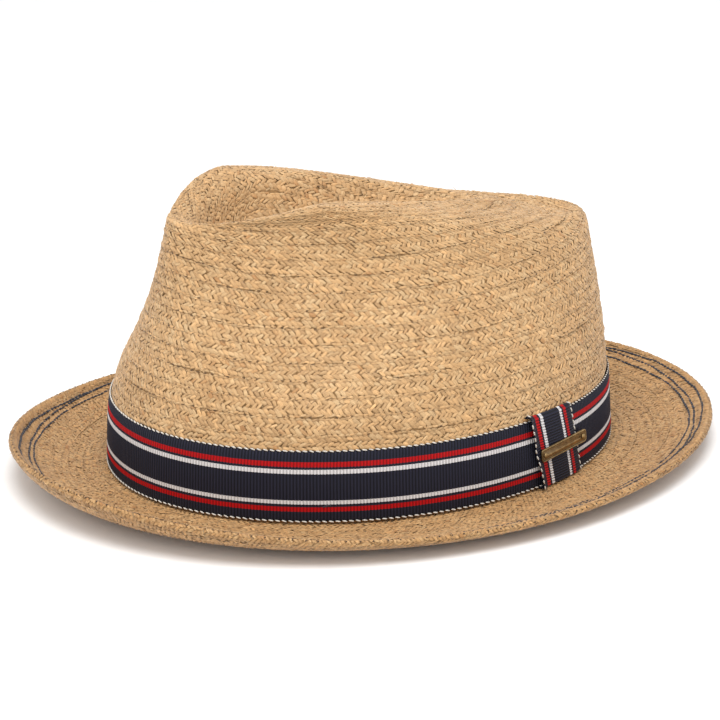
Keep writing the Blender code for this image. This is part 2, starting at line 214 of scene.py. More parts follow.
def wall_points(angle, z, out):
    """Points beside the crown's wall at angles and heights, moved straight out."""
    angle, z, out = np.broadcast_arrays(*(np.asarray(a, float) for a in (angle, z, out)))
    low = np.zeros(z.shape)
    high = np.full(z.shape, 3.0)
    for _ in range(26):
        middle = 0.5 * (low + high)
        below = crown_points(angle, middle)[..., 2] < z
        low = np.where(below, middle, low)
        high = np.where(below, high, middle)
    small = 1e-3
    at = crown_points(angle, low)
    along = crown_points(angle + small, low) - crown_points(angle - small, low)
    up = crown_points(angle, low + small) - crown_points(angle, np.maximum(low - small, 0))
    side = np.cross(along, up)
    side[..., 2] = 0
    place = at + out[..., None] * unit(side)
    place[..., 2] = z
    return place


def brim_middle(angle, share):
    """The middle of the brim's braid, from its inner edge (0) to its outer edge (1)."""
    inner = wall_points(angle, BRAID + 0.3, -BRAID)
    c = np.cos(angle)
    reach = np.where(c > 0, EDGE_FRONT, EDGE_REAR)
    outer = np.stack([EDGE_HALF_WIDTH * np.sin(angle), -reach * c, np.zeros_like(c)], axis=-1)
    width = np.linalg.norm((outer - inner)[..., :2], axis=-1)
    flat = 0.5 * BRAID
    curl = CURL[0] + CURL[1] * ((1 + c) / 2) ** 3
    mean, once, twice, thrice = EDGE_LIFT
    lift = RIBBON_LOW + mean + once * c + twice * np.cos(2 * angle) + thrice * np.cos(3 * angle)
    past = np.maximum(0.0, (share - FLAT_RING) / (1 - FLAT_RING))
    edge = np.exp(-(1 - share) * width / CURL_REACH) * np.minimum(1.0, past * 4)
    at = inner + share[..., None] * (outer - inner)
    at[..., 2] = flat + (lift - flat - curl) * past**1.6 + curl * edge
    return at, width


HEM_WIDTH = 10.0
HEM_FOLD = 1.15              # radius of the folded edge
HEM_DROP = 0.35              # how far the fold's centre lies below the middle of the brim's braid


def brim_faces():
    """The brim's top, folded edge and hem as one face, its underside as another, and its mean width."""
    shares = np.linspace(0, 1, 120)
    angle = np.broadcast_to(ANGLES[:, None], (TURNS, len(shares)))
    middle, width = brim_middle(angle, np.broadcast_to(shares, angle.shape))
    around = np.roll(middle, -1, axis=0) - np.roll(middle, 1, axis=0)
    outward = np.gradient(middle, axis=1)
    normal = unit(np.cross(outward, around))
    outward = unit(outward)
    mean_width = float(width.mean())

    def between(field, share):
        """A field of the grid at one share for each angle."""
        y = np.clip(share, 0, 1) * (len(shares) - 1)
        j = np.minimum(np.floor(y).astype(int), len(shares) - 2)
        f = (y - j)[:, None]
        own = np.arange(TURNS)
        return field[own, j] * (1 - f) + field[own, j + 1] * f

    fold_share = 1 - HEM_FOLD / width[:, 0]
    top_rows = round((mean_width - HEM_FOLD) / FACE_STEP)
    fold_rows = round(math.pi * HEM_FOLD / FACE_STEP)
    hem_rows = round(HEM_WIDTH / FACE_STEP)
    columns = []
    for k in range(top_rows):
        share = fold_share * k / top_rows
        columns.append(between(middle, share) + 0.5 * BRAID * between(normal, share))
    centre = between(middle, fold_share) - HEM_DROP * between(normal, fold_share)
    for k in range(fold_rows):
        turn = math.pi * (0.5 - k / fold_rows)
        out = math.cos(turn) * between(outward, fold_share) + math.sin(turn) * between(normal, fold_share)
        columns.append(centre + HEM_FOLD * out)
    for k in range(hem_rows + 1):
        share = fold_share - HEM_WIDTH / width[:, 0] * k / hem_rows
        columns.append(between(middle, share) - (HEM_DROP + HEM_FOLD) * between(normal, share))
    over = Face(np.stack(columns, axis=1), 0.0, FACE_STEP, -1.0)
    under_rows = round(mean_width / FACE_STEP)
    under = []
    for k in range(under_rows + 1):
        share = fold_share * k / under_rows
        under.append(between(middle, share) - 0.5 * BRAID * between(normal, share))
    return over, Face(np.stack(under, axis=1), 0.0, FACE_STEP, 1.0), top_rows * FACE_STEP


# Mesh writing.
def add_mesh(name, points, quads, material, tint=None, uv=None):
    """A mesh from points in millimetres, four-sided faces, and a colour and a map place for each point."""
    mesh = bpy.data.meshes.new(name)
    quads = np.asarray(quads, np.int32)
    mesh.vertices.add(len(points))
    mesh.vertices.foreach_set("co", (np.asarray(points) * MM).astype(np.float32).ravel())
    mesh.loops.add(quads.size)
    mesh.loops.foreach_set("vertex_index", quads.ravel())
    mesh.polygons.add(len(quads))
    mesh.polygons.foreach_set("loop_start", np.arange(0, quads.size, 4, dtype=np.int32))
    mesh.update(calc_edges=True)
    mesh.validate()
    mesh.shade_smooth()
    if tint is not None:
        layer = mesh.color_attributes.new("tint", "FLOAT_COLOR", "POINT")
        colour = np.concatenate([np.clip(tint, 0, 1), np.ones((len(tint), 1))], axis=1)
        layer.data.foreach_set("color", colour.astype(np.float32).ravel())
    if uv is not None:
        layer = mesh.uv_layers.new(name="fibre")
        layer.data.foreach_set("uv", np.asarray(uv, np.float32)[quads.ravel()].ravel())
    mesh.materials.append(material)
    piece = bpy.data.objects.new(name, mesh)
    bpy.context.scene.collection.objects.link(piece)
    return piece


def grid_quads(rows, columns, wrap_rows=False, wrap_columns=False):
    """Faces of a grid of points numbered row by row."""
    i = np.arange(rows if wrap_rows else rows - 1)[:, None]
    j = np.arange(columns if wrap_columns else columns - 1)[None, :]
    n = (i + 1) % rows
    m = (j + 1) % columns
    corners = (i * columns + j, n * columns + j, n * columns + m, i * columns + m)
    return np.stack(corners, axis=-1).reshape(-1, 4)


def tube(centres, radius, sides=6, closed=False):
    """Points and faces of a thread through the centres."""
    centres = np.asarray(centres, float)
    along = unit(np.gradient(centres, axis=0))
    if closed:
        along = unit(np.roll(centres, -1, axis=0) - np.roll(centres, 1, axis=0))
    side = unit(np.cross(along, (0.13, 0.21, 1.0)))
    up = np.cross(side, along)
    turn = 2 * math.pi * np.arange(sides) / sides
    ring = np.cos(turn)[None, :, None] * side[:, None] + np.sin(turn)[None, :, None] * up[:, None]
    radius = np.broadcast_to(radius, (len(centres),))
    points = centres[:, None] + radius[:, None, None] * ring
    return points.reshape(-1, 3), grid_quads(len(centres), sides, closed, True)[:, ::-1]


def joined(parts):
    """Several (points, faces, ...) as one. Whatever follows the faces has a row for each point."""
    count = 0
    quads = []
    for part in parts:
        quads.append(part[1] + count)
        count += len(part[0])
    rest = (np.concatenate(own) for own in zip(*(part[2:] for part in parts)))
    return np.concatenate([part[0] for part in parts]), np.concatenate(quads), *rest


def add_piece(name, made, material, replaced=None):
    """A piece that rides on the hat. made is its points, faces, colours and fibre map."""
    points, quads, tints, uv = made
    piece = add_mesh(name, points, quads, material, tints, uv)
    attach(piece, "root")
    if replaced:
        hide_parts(replaced)
    return piece


# Materials.
def grey(value):
    return (value, value, value)


class Look:
    """A material, with short names for the nodes that this hat needs."""

    def __init__(self, name, roughness, specular, sheen=0.0, sheen_roughness=0.5):
        self.material = bpy.data.materials.new(name)
        self.material.use_nodes = True
        self.tree = self.material.node_tree
        self.sockets = self.tree.nodes["Principled BSDF"].inputs
        self.sockets["Roughness"].default_value = roughness
        self.sockets["Specular IOR Level"].default_value = specular
        self.sockets["Sheen Weight"].default_value = sheen
        self.sockets["Sheen Roughness"].default_value = sheen_roughness

    def link(self, source, socket):
        self.tree.links.new(source, self.sockets[socket])

    def node(self, kind, links=(), **values):
        """A new node. links is (socket, what feeds it); values are its settings or unlinked sockets."""
        made = self.tree.nodes.new("ShaderNode" + kind)
        for name, value in values.items():
            if name in made.inputs:
                made.inputs[name].default_value = value
            else:
                setattr(made, name, value)
        for socket, source in links:
            self.tree.links.new(source, made.inputs[socket])
        return made

    def place(self):
        return self.node("TexCoord").outputs["Object"]

    def tint(self):
        return self.node("VertexColor", layer_name="tint").outputs["Color"]

    def fibre(self):
        return self.node("UVMap", uv_map="fibre").outputs["UV"]

    def noise(self, vector, scale, detail, roughness=0.55):
        """Noise over a vector. A scale of three numbers stretches it."""
        if isinstance(scale, tuple):
            vector = self.node("Mapping", (("Vector", vector),), Scale=scale).outputs["Vector"]
            scale = 1.0
        values = {"Scale": scale, "Detail": detail, "Roughness": roughness}
        return self.node("TexNoise", (("Vector", vector),), **values).outputs["Fac"]

    def ramp(self, factor, stops, interpolation="LINEAR"):
        made = self.node("ValToRGB", (("Fac", factor),))
        made.color_ramp.interpolation = interpolation
        elements = made.color_ramp.elements
        while len(elements) < len(stops):
            elements.new(0.5)
        for element, (position, colour) in zip(elements, stops):
            element.position = position
            element.color = (*colour, 1.0)
        return made.outputs["Color"]

    def times(self, colour, other, factor=None):
        """One colour times another. A factor fades the other out."""
        links = ((6, colour), (7, other)) + ((("Factor", factor),) if factor else ())
        values = {"data_type": "RGBA", "blend_type": "MULTIPLY", "Factor": 1.0}
        return self.node("Mix", links, **values).outputs[2]

    def between(self, factor, low, high):
        values = {"To Min": low, "To Max": high}
        return self.node("MapRange", (("Value", factor),), **values).outputs["Result"]

    def math(self, operation, first, second=1.0):
        """A sum in the shader. The second value is a number or a socket."""
        links = ((0, first),) if isinstance(second, float) else ((0, first), (1, second))
        made = self.node("Math", links, operation=operation)
        if isinstance(second, float):
            made.inputs[1].default_value = second
        return made.outputs["Value"]

    def bump(self, height, strength, distance):
        made = self.node("Bump", (("Height", height),), Strength=strength, Distance=distance * MM)
        self.link(made.outputs["Normal"], "Normal")


def raffia_material():
    """Straw: each strand's own tint, fine fibre lines along it, and broad blotches over the hat."""
    look = Look("raffia", 0.6, 0.35, 0.15, 0.45)
    fibre = look.fibre()
    lines = look.noise(fibre, (0.35, 5.0, 1.0), 4.0, 0.6)
    fine = look.noise(fibre, (0.8, 14.0, 1.0), 2.0)
    blotch = look.noise(look.place(), 28.0, 4.0)
    streaks = ((0.25, (0.55, 0.47, 0.37)), (0.5, (1.0, 0.98, 0.95)), (0.72, (1.28, 1.28, 1.24)))
    colour = look.times(look.tint(), look.ramp(lines, streaks))
    colour = look.times(colour, look.ramp(fine, ((0.3, (0.86, 0.82, 0.76)), (0.6, grey(1.05)))))
    colour = look.times(colour, look.ramp(blotch, ((0.3, (0.93, 0.89, 0.83)), (0.7, grey(1.06)))))
    look.link(colour, "Base Color")
    look.link(look.between(lines, 0.72, 0.48), "Roughness")
    look.bump(lines, 0.5, 0.12)
    return look.material


def shaded_core_material():
    """The straw seen deep between the strands, painted dark brown as painted shade for the shade that lies
    there.
    """
    look = Look("raffia_core_painted_shade", 0.85, 0.2)
    grain = look.noise(look.place(), 900.0, 3.0)
    look.link(look.ramp(grain, ((0.3, (0.17, 0.095, 0.038)), (0.7, (0.36, 0.21, 0.09)))), "Base Color")
    look.bump(grain, 0.6, 0.2)
    return look.material


def thread_material(name):
    """Twisted sewing thread in its own tint, with fine ply lines and a soft sheen."""
    look = Look(name, 0.65, 0.3, 0.25)
    ply = look.noise(look.place(), 2400.0, 2.0)
    shade = look.ramp(ply, ((0.35, grey(0.7)), (0.65, grey(1.25))))
    look.link(look.times(look.tint(), shade), "Base Color")
    look.link(look.between(ply, 0.75, 0.5), "Roughness")
    look.bump(ply, 0.6, 0.1)
    return look.material


NAVY = (0.013, 0.0135, 0.025)
RED = (0.4, 0.0012, 0.003)
WHITE = (0.62, 0.6, 0.58)
STRIPES = (
    (0.0, NAVY), (0.147, RED), (0.216, NAVY), (0.253, WHITE), (0.314, NAVY),
    (0.695, WHITE), (0.749, NAVY), (0.786, RED), (0.853, NAVY),
)


def grosgrain_material(name, stops, rib_pitch):
    """Ribbed ribbon. The map's x is millimetres along the ribbon, and its y the share across."""
    look = Look(name, 0.6, 0.18, 0.05, 0.4)
    fibre = look.fibre()
    split = look.node("SeparateXYZ", (("Vector", fibre),))
    wobble = look.between(look.noise(fibre, (1.1, 3.0, 1.0), 2.0), -0.004, 0.004)
    stripes = look.ramp(look.math("ADD", split.outputs["Y"], wobble), stops, "CONSTANT")
    turn = look.math("MULTIPLY", split.outputs["X"], 2 * math.pi / rib_pitch)
    links = (("Value", look.math("COSINE", turn)),)
    rib = look.node("MapRange", links, **{"From Min": -1.0}).outputs["Result"]
    # Painted shade in the grooves between the ribs and a painted highlight on their crests.
    shade = look.ramp(rib, ((0.0, grey(0.3)), (0.4, grey(0.8)), (1.0, grey(1.3))))
    # The painted shade of the grooves shows less on the light stripes.
    channels = look.node("SeparateColor", (("Color", stripes),))
    depth = look.between(channels.outputs["Red"], 1.0, 0.2)
    yarn = look.noise(fibre, (9.0, 160.0, 1.0), 2.0)
    yarns = look.ramp(yarn, ((0.3, (0.75, 0.75, 0.78)), (0.7, (1.2, 1.2, 1.25))))
    look.link(look.times(look.times(stripes, shade, depth), yarns), "Base Color")
    look.link(look.between(yarn, 0.48, 0.68), "Roughness")
    look.bump(yarn, 0.35, 0.06)
    return look.material


def brass_material():
    """Aged brass: brown patina in the hollows and brighter worn metal on the raised border."""
    look = Look("antique_brass", 0.42, 0.5)
    look.sockets["Metallic"].default_value = 0.85
    place = look.place()
    patina = look.noise(place, 420.0, 5.0, 0.65)
    pits = look.noise(place, 2400.0, 3.0)
    mottled = look.ramp(patina, ((0.32, (0.55, 0.5, 0.45)), (0.62, grey(1.0)), (0.8, (1.25, 1.2, 1.1))))
    look.link(look.times(look.tint(), mottled), "Base Color")
    look.link(look.between(patina, 0.55, 0.3), "Roughness")
    look.bump(pits, 0.35, 0.08)
    return look.material


def label_material():
    """Plain woven cloth."""
    look = Look("label_cloth", 0.7, 0.3, 0.3)
    weave = look.noise(look.fibre(), (4.0, 30.0, 1.0), 3.0)
    look.link(look.ramp(weave, ((0.3, (0.62, 0.58, 0.5)), (0.7, (0.8, 0.77, 0.7)))), "Base Color")
    look.bump(weave, 0.4, 0.08)
    return look.material


# Braid.
STRAW = np.array((0.53, 0.335, 0.165))
RUST = np.array((0.4, 0.19, 0.065))
PALE = np.array((0.62, 0.45, 0.26))


def straw_tints(count, random, shade=1.0):
    """A colour for each strand: mostly warm tan, some pale, a few rusty."""
    tint = STRAW * np.exp(random.normal(0, 0.11, (count, 1)))
    pale = random.random((count, 1)) ** 3 * 0.7
    tint = tint * (1 - pale) + PALE * pale
    rust = np.where(random.random((count, 1)) < 0.045, random.uniform(0.15, 0.6, (count, 1)), 0.0)
    tint = tint * (1 - rust) + RUST * rust
    return tint * shade


def straw_bits(face, turn, v, slope, half_length, half_width, lift, thick, tint, random, fine=True):
    """Short curved strands on a face, each at a turn and a distance across, at a slope to the row."""
    along = np.array((-1.0, -0.62, 0.0, 0.62, 1.0)) if fine else np.array((-1.0, 0.0, 1.0))
    aside = np.array((-1.0, -0.45, 0.45, 1.0)) if fine else np.array((-1.0, 0.0, 1.0))
    x, y = np.meshgrid(along, aside, indexing="ij")
    x = x.ravel()[None, :]
    y = y.ravel()[None, :]
    count = len(turn)
    girth = face.girth_at(v)[:, None]
    # Each strand is a little bent, folded to one side, and narrower where it dives under the next.
    bend = random.normal(0, 0.12, (count, 1))
    fold = random.normal(0, 0.22, (count, 1))
    waist = 1 - 0.34 * np.abs(x) ** 2.5
    u = half_length[:, None] * x
    w = half_width[:, None] * (y * waist + bend * (1 - x * x))
    c = np.cos(slope)[:, None]
    s = np.sin(slope)[:, None]
    da = c * u - s * w
    db = s * u + c * w
    crown = (1 - 0.8 * np.abs(y) ** 2.2) * (1 - 0.95 * np.abs(x) ** 2.4) + fold * y * (1 - x * x) * 0.5
    above = lift[:, None] + thick[:, None] * crown
    points = face.at(turn[:, None] + da / girth, v[:, None] + db, above)
    quads = grid_quads(len(along), len(aside))
    if face.outward < 0:
        quads = quads[:, ::-1]
    quads = quads[None] + (np.arange(count) * x.size)[:, None, None]
    # Each strand is painted darker at its sides and ends, where it dives under its neighbours: painted shade.
    edge = 1 - 0.16 * np.abs(y) ** 3 - 0.2 * np.abs(x) ** 4
    tints = tint[:, None, :] * edge[..., None]
    offset = random.uniform(0, 400, (count, 2))
    uv = np.stack([offset[:, :1] + u, offset[:, 1:] + w], axis=-1)
    return points.reshape(-1, 3), quads.reshape(-1, 4), tints.reshape(-1, 3), uv.reshape(-1, 2)


def row_profile(share, relief):
    """Each row laps over the one below it, so it stands highest just above its lower edge."""
    return relief * (np.clip(share / 0.12, 0, 1) * (1 - share) ** 0.7 - 0.8)


# The bands of strands across a row: share of its height, slant, and the strands' length and width.
BANDS = (
    (0.06, 0, 1.0, 0.8), (0.25, -1, 1.06, 1.12), (0.5, 1, 0.98, 0.94), (0.75, -1, 1.06, 1.12),
    (0.94, 0, 1.0, 0.8),
)


def braid_rows(face, v_low, v_high, seed, row=ROW, fine=True, relief=0.45, shade=1.0, size=1.0):
    """Rows of plaited braid over part of a face. Each row has three bands of slanting strands, turned
    alternately, between two lines of short strands that fold over at its edges."""
    random = np.random.default_rng(seed)
    lines = []
    steep = math.atan2(row / 4, CELL * size)
    for k in range(math.floor(v_low / row) - 1, math.ceil(v_high / row)):
        girth = float(face.girth_at((k + 0.5) * row))
        count = max(4, round(girth / (CELL * size)))
        phase = random.random()
        wander = random.uniform(0, 2 * math.pi, 3)
        pull = random.normal(0, 0.07)
        for line, (share, slant, long, wide) in enumerate(BANDS):
            middle = (k + share) * row
            if middle < v_low or middle > v_high:
                continue
            turn = (np.arange(count) + phase + 0.5 * (line % 2) + random.normal(0, 0.09, count)) / count
            swing = 0.18 * np.sin(2 * math.pi * np.outer((3, 7, 13), turn) + wander[:, None]).sum(axis=0)
            v = middle + size * (swing + random.normal(0, 0.11, count))
            if slant:
                slope = slant * (steep + pull) + random.normal(0, 0.17, count)
                length = 0.5 * math.hypot(CELL * size, row / 4) * long
            else:
                slope = random.normal(0.0, 0.28, count)
                length = 0.5 * CELL * size * long
            lines.append((
                turn, v, slope,
                length * random.uniform(0.98, 1.3, count),
                0.5 * STRAW_WIDTH * size * wide * random.uniform(0.85, 1.2, count),
                row_profile(share, relief) + random.normal(0, 0.05, count),
                STRAW_THICK * size * random.uniform(0.75, 1.2, count),
                # The top line of each row, under the lapped edge of the row above, is painted darker: painted
                # shade.
                np.full(count, 0.86 if share > 0.9 else 1.0),
            ))
    *strands, painted_shades = (np.concatenate(own) for own in zip(*lines))
    tint = straw_tints(len(painted_shades), random, shade) * painted_shades[:, None]
    return straw_bits(face, *strands, tint, random, fine)


def core_piece(name, outer, v_outer, inner, v_inner, depth, across):
    """A closed shell a little below two faces that lie back to back, up to a distance across each."""
    turn = np.arange(180)[:, None] / 180
    outside = outer.at(turn, np.linspace(0.0, v_outer, across)[None], -depth)
    inside = inner.at(turn, np.linspace(0.0, v_inner, across)[None], -depth)
    loop = np.concatenate([outside, inside[:, ::-1]], axis=1).reshape(-1, 3)
    add_piece(name, (loop, grid_quads(180, 2 * across, True, True), None, None), core)


# Stitches.
NAVY_THREAD = (0.014, 0.013, 0.022)
TAN_THREAD = (0.26, 0.15, 0.065)
HOLE_BROWN = (0.07, 0.035, 0.015)
SEAM_BROWN = (0.13, 0.07, 0.028)


def stitch_bits(face, turn, v, slope, length, width, lift, thick, tint, random):
    """Separate stitches on a face."""
    count = len(turn)
    return straw_bits(
        face, turn, v, slope,
        0.5 * length * random.uniform(0.9, 1.1, count), 0.5 * width * random.uniform(0.9, 1.1, count),
        np.zeros(count) + lift, np.full(count, thick),
        np.asarray(tint) * random.uniform(0.7, 1.3, (count, 1)), random,
    )


def stitch_line(face, v_of_turn, pitch, length, width, lift, thick, tint, seed, sunk=0.0):
    """A row of stitches all the way round a face, at the distance across that a function gives."""
    random = np.random.default_rng(seed)
    girth = float(face.girth_at(v_of_turn(np.array([0.25]))[0]))
    count = round(girth / pitch)
    turn = (np.arange(count) + random.normal(0, 0.05, count)) / count
    v = v_of_turn(turn)
    ahead = 0.5 / girth
    slope = np.arctan2(v_of_turn(turn + ahead) - v_of_turn(turn - ahead), 1.0) + random.normal(0, 0.04, count)
    # On the wearer's left the thread sinks into the straw.
    lift = lift - sunk * np.exp(-(((turn - 0.24) / 0.08) ** 2)) + random.normal(0, 0.5 * sunk, count)
    return stitch_bits(face, turn, v, slope, length, width, lift, thick, tint, random)


def row_stitches(face, v_low, v_high, seed, pitch, skip):
    """The needle holes and sunken thread along the seams between rows."""
    random = np.random.default_rng(seed)
    seams = []
    for k in range(math.ceil(v_low / ROW), math.ceil(v_high / ROW)):
        count = max(3, round(float(face.girth_at(k * ROW)) / pitch))
        turn = (np.arange(count) + random.random() + random.normal(0, 0.1, count)) / count
        # The stitches sink out of sight in places, mostly round the back and sides.
        hidden = np.minimum(skip + 1.5 * (1 - np.cos(2 * math.pi * (turn - 0.02))), 0.9)
        turn = turn[random.random(count) > hidden]
        seams.append((turn, np.full(len(turn), k * ROW) + random.normal(0, 0.12, len(turn))))
    turn, v = (np.concatenate(own) for own in zip(*seams))
    slope = random.normal(0.0, 0.25, len(turn))
    return stitch_bits(face, turn, v + 0.15, slope, 1.2, 0.48, 0.02, 0.2, SEAM_BROWN, random)


def wisps(faces, seed):
    """Hair-fine splinters lying on the braid. faces is (face, lowest v, highest v, how many)."""
    random = np.random.default_rng(seed)
    made = []
    for face, v_low, v_high, count in faces:
        # More of them where the face is wider round.
        v = np.sort(random.uniform(v_low, v_high, 2 * count))
        v = v[random.random(2 * count) < face.girth_at(v) / face.girth.max() * 0.6]
        own = len(v)
        tint = straw_tints(own, random) * random.choice((0.6, 1.15, 1.25), (own, 1))
        slope = random.choice((-1, 1), own) * random.uniform(0.2, 1.3, own)
        made.append(straw_bits(
            face, random.random(own), v, slope,
            random.uniform(0.6, 1.6, own), random.uniform(0.09, 0.17, own),
            random.uniform(0.0, 0.2, own), random.uniform(0.12, 0.2, own), tint, random, False,
        ))
    return joined(made)


def loose_fibres(faces, seed):
    """Fine ends of raffia that stand off the braid. faces is (face, lowest v, highest v, how many)."""
    random = np.random.default_rng(seed)
    fibres = []
    for face, v_low, v_high, count in faces:
        for _ in range(count):
            turn = random.random()
            v = random.uniform(v_low, v_high)
            root, above = face.at(np.full(2, turn), np.full(2, v), np.array((0.15, 1.0)))
            normal = unit(above - root)
            swing = unit(random.normal(0, 1, 3))
            swing = unit(swing - normal * (swing @ normal))
            length = random.uniform(1.2, 3.6)
            rise = random.uniform(0.25, 0.75)
            t = np.linspace(0, 1, 7)[:, None]
            bow = random.uniform(-0.5, 0.5) * np.cross(normal, swing)
            line = root + length * (t * swing + rise * t * (1.6 - t) * normal + bow * t * t)
            points, quads = tube(line, 0.09 * (1.1 - t[:, 0]), 4)
            tints = np.repeat(straw_tints(1, random, 1.05), len(points), axis=0)
            fibres.append((points, quads, tints, points[:, :2]))
    return joined(fibres)


# Ribbon.
RIBBON = 0.6
GAP = 0.3
RIB = 1.17                   # distance between two ribs
PICOT = 2 * RIB              # distance between two loops of the woven edge
PICOT_WHITE = (0.62, 0.58, 0.52)


def ribbon_piece(name, place, length, material, replaced, rib=RIB, thick=RIBBON, rib_height=0.13, rows=17):
    """A ribbed strip as a closed body. place(s, w, out) gives points a distance along it, a share across it
    and a height above its back."""
    columns = round(length / rib * 6) + 1
    s = np.linspace(0, length, columns)
    even = np.linspace(0.0, 1.0, rows)
    w = 0.6 * (0.5 - 0.5 * np.cos(math.pi * even)) + 0.4 * even
    round_edge = 1 - 0.55 * np.abs(2 * w - 1) ** 16
    wave = rib_height * np.cos(2 * math.pi * s / rib)[:, None] * round_edge
    # The face across, then the flat back the other way.
    w = np.concatenate([w, w[-1:0:-3]])
    size = len(w)
    out = np.concatenate([thick * round_edge + wave, np.zeros((columns, size - rows))], axis=1)
    s, w = np.meshgrid(s, w, indexing="ij")
    points = place(s, w, out).reshape(-1, 3)
    quads = facing_out(points, grid_quads(columns, size, False, True))
    uv = np.stack([s, w], axis=-1).reshape(-1, 2)
    piece = add_piece(name, (points, quads, None, uv), material, replaced)
    cap_ends(piece, columns, size)
    return piece


def facing_out(points, quads):
    """The faces, turned over if the body they close is inside out."""
    a, b, c, d = (points[quads[:, k]] for k in range(4))
    volume = (a * np.cross(b, c)).sum() + (a * np.cross(c, d)).sum()
    return quads if volume > 0 else quads[:, ::-1]


def cap_ends(piece, columns, size):
    """Closes the two ends of a swept body."""
    work = bmesh.new()
    work.from_mesh(piece.data)
    work.verts.ensure_lookup_table()
    for start in (0, (columns - 1) * size):
        work.faces.new([work.verts[start + k] for k in range(size)])
    bmesh.ops.recalc_face_normals(work, faces=work.faces)
    work.to_mesh(piece.data)
    work.free()
    piece.data.shade_smooth()


def picot_piece(name, place, length, seed):
    """The small loops of white yarn along a ribbon's two edges."""
    random = np.random.default_rng(seed)
    count = round(length / PICOT)
    s = (np.arange(count) + 0.5) * length / count
    height = np.full(count, 0.5)
    stations = np.array((-1.0, -0.8, 0.0, 0.8, 1.0))
    thick = 0.3 * np.sqrt(np.maximum(1 - np.abs(stations) ** 3, 0.02))
    sides = 6
    turn = 2 * math.pi * np.arange(sides)[:, None] / sides
    parts = []
    for edge, inward in ((0.0, 1), (1.0, -1)):
        w = np.full(count, edge)
        centre = place(s, w, height)
        along = unit(place(s + 0.2, w, height) - place(s - 0.2, w, height))
        across = unit(place(s, w + inward * 0.02, height) - centre)
        up = np.cross(along, across)
        lean = math.radians(13) + random.normal(0, 0.05, count)[:, None]
        axis = np.cos(lean) * along + np.sin(lean) * across * inward
        side = unit(np.cross(up, axis))
        ring = np.cos(turn) * side[:, None] + np.sin(turn) * up[:, None]
        points = (
            centre[:, None, None]
            + 0.9 * stations[None, :, None, None] * axis[:, None, None]
            + thick[None, :, None, None] * ring[:, None]
        )
        quads = grid_quads(len(stations), sides, False, True)
        quads = quads[None] + (np.arange(count) * len(stations) * sides)[:, None, None]
        parts.append((points.reshape(-1, 3), quads.reshape(-1, 4)))
    points, quads = joined(parts)
    tints = np.tile(PICOT_WHITE, (len(points), 1))
    return add_piece(name, (points, quads, tints, None), white_yarn)


def band_place(s, w, out):
    """The band ripples a little off the crown. w runs from its upper edge down."""
    turn = band_start + s / wall_girth
    ripple = 0.1 * np.sin(2 * math.pi * 5 * turn + 1.0) + 0.06 * np.sin(2 * math.pi * 13 * turn)
    z = RIBBON_LOW + RIBBON_HEIGHT * (1 - w)
    return wall.at(turn, z, GAP + 0.05 + np.maximum(ripple, -0.05) + out)


KEEPER_FACE = 1.25           # the keeper's back, off the crown's wall
KEEPER_RIB = 1.03            # its ribs lie a little closer than the band's
KEEPER_PUFF = 2.3            # how far its front edge lifts off the band


def keeper_path():
    """The keeper's back seen from its side, as distance off the wall and height: over the band's upper edge,
    down its face and under its lower edge. Then the distance along it."""
    steps = 24
    low = RIBBON_LOW - GAP
    high = RIBBON_LOW + RIBBON_HEIGHT + GAP
    bend = 0.5 * KEEPER_FACE
    arc = np.linspace(math.pi, 0, steps)
    over = np.stack([bend + bend * np.cos(arc), high + bend * np.sin(arc)], axis=1)
    arc = np.linspace(0, -0.8 * math.pi, steps)
    foot = 0.45
    under = np.stack([KEEPER_FACE - foot + foot * np.cos(arc), low + foot + foot * np.sin(arc)], axis=1)
    path = np.concatenate([over, under])
    return path, np.concatenate([[0], np.cumsum(np.linalg.norm(np.diff(path, axis=0), axis=1))])


def keeper_place(s, w, out):
    """w runs from the keeper's front edge to its rear edge."""
    path, along = keeper_route
    off = np.interp(s, along, path[:, 0])
    z = np.interp(s, along, path[:, 1])
    d_off, d_z = (
        np.interp(s + 0.05, along, path[:, k]) - np.interp(s - 0.05, along, path[:, k]) for k in (0, 1)
    )
    size = np.maximum(np.hypot(d_off, d_z), 1e-6)
    off = off + out * (-d_z / size)
    z = z + out * (d_off / size)
    middle = RIBBON_LOW + MID_RIBBON
    lean = KEEPER_LEAN * (middle - z) / RIBBON_HEIGHT
    reach = (z - middle) / MID_RIBBON
    # The front edge stands off the band, less where the plate holds it down.
    open_front = np.clip(1 - w / 0.13, 0, 1)
    held = 1 - 0.4 * np.exp(-((z - middle - 1.0) ** 2) / 14)
    puff = KEEPER_PUFF * open_front * held
    z = z + np.maximum(z - RIBBON_LOW - RIBBON_HEIGHT - GAP, 0) * open_front
    # The face bows out a little between the band's edges.
    bow = 0.25 * np.sin(math.pi * np.clip(w, 0, 1)) * np.clip(1 - reach**2, 0, 1)
    turn = keeper_turn + ((w - 0.5) * KEEPER_WIDTH + lean) / wall_girth
    return wall.at(turn, z, off + (puff + bow) * np.clip(off / KEEPER_FACE, 0, 1))


# Plate.
def rounded_outline(length, height, radius, steps=8):
    """A rectangle with round corners, about its centre."""
    outline = []
    for quarter, (x, y) in enumerate(((1, 1), (-1, 1), (-1, -1), (1, -1))):
        for k in range(steps + 1):
            turn = math.pi / 2 * (quarter + k / steps)
            outline.append((
                x * (0.5 * length - radius) + radius * math.cos(turn),
                y * (0.5 * height - radius) + radius * math.sin(turn),
            ))
    return np.array(outline)


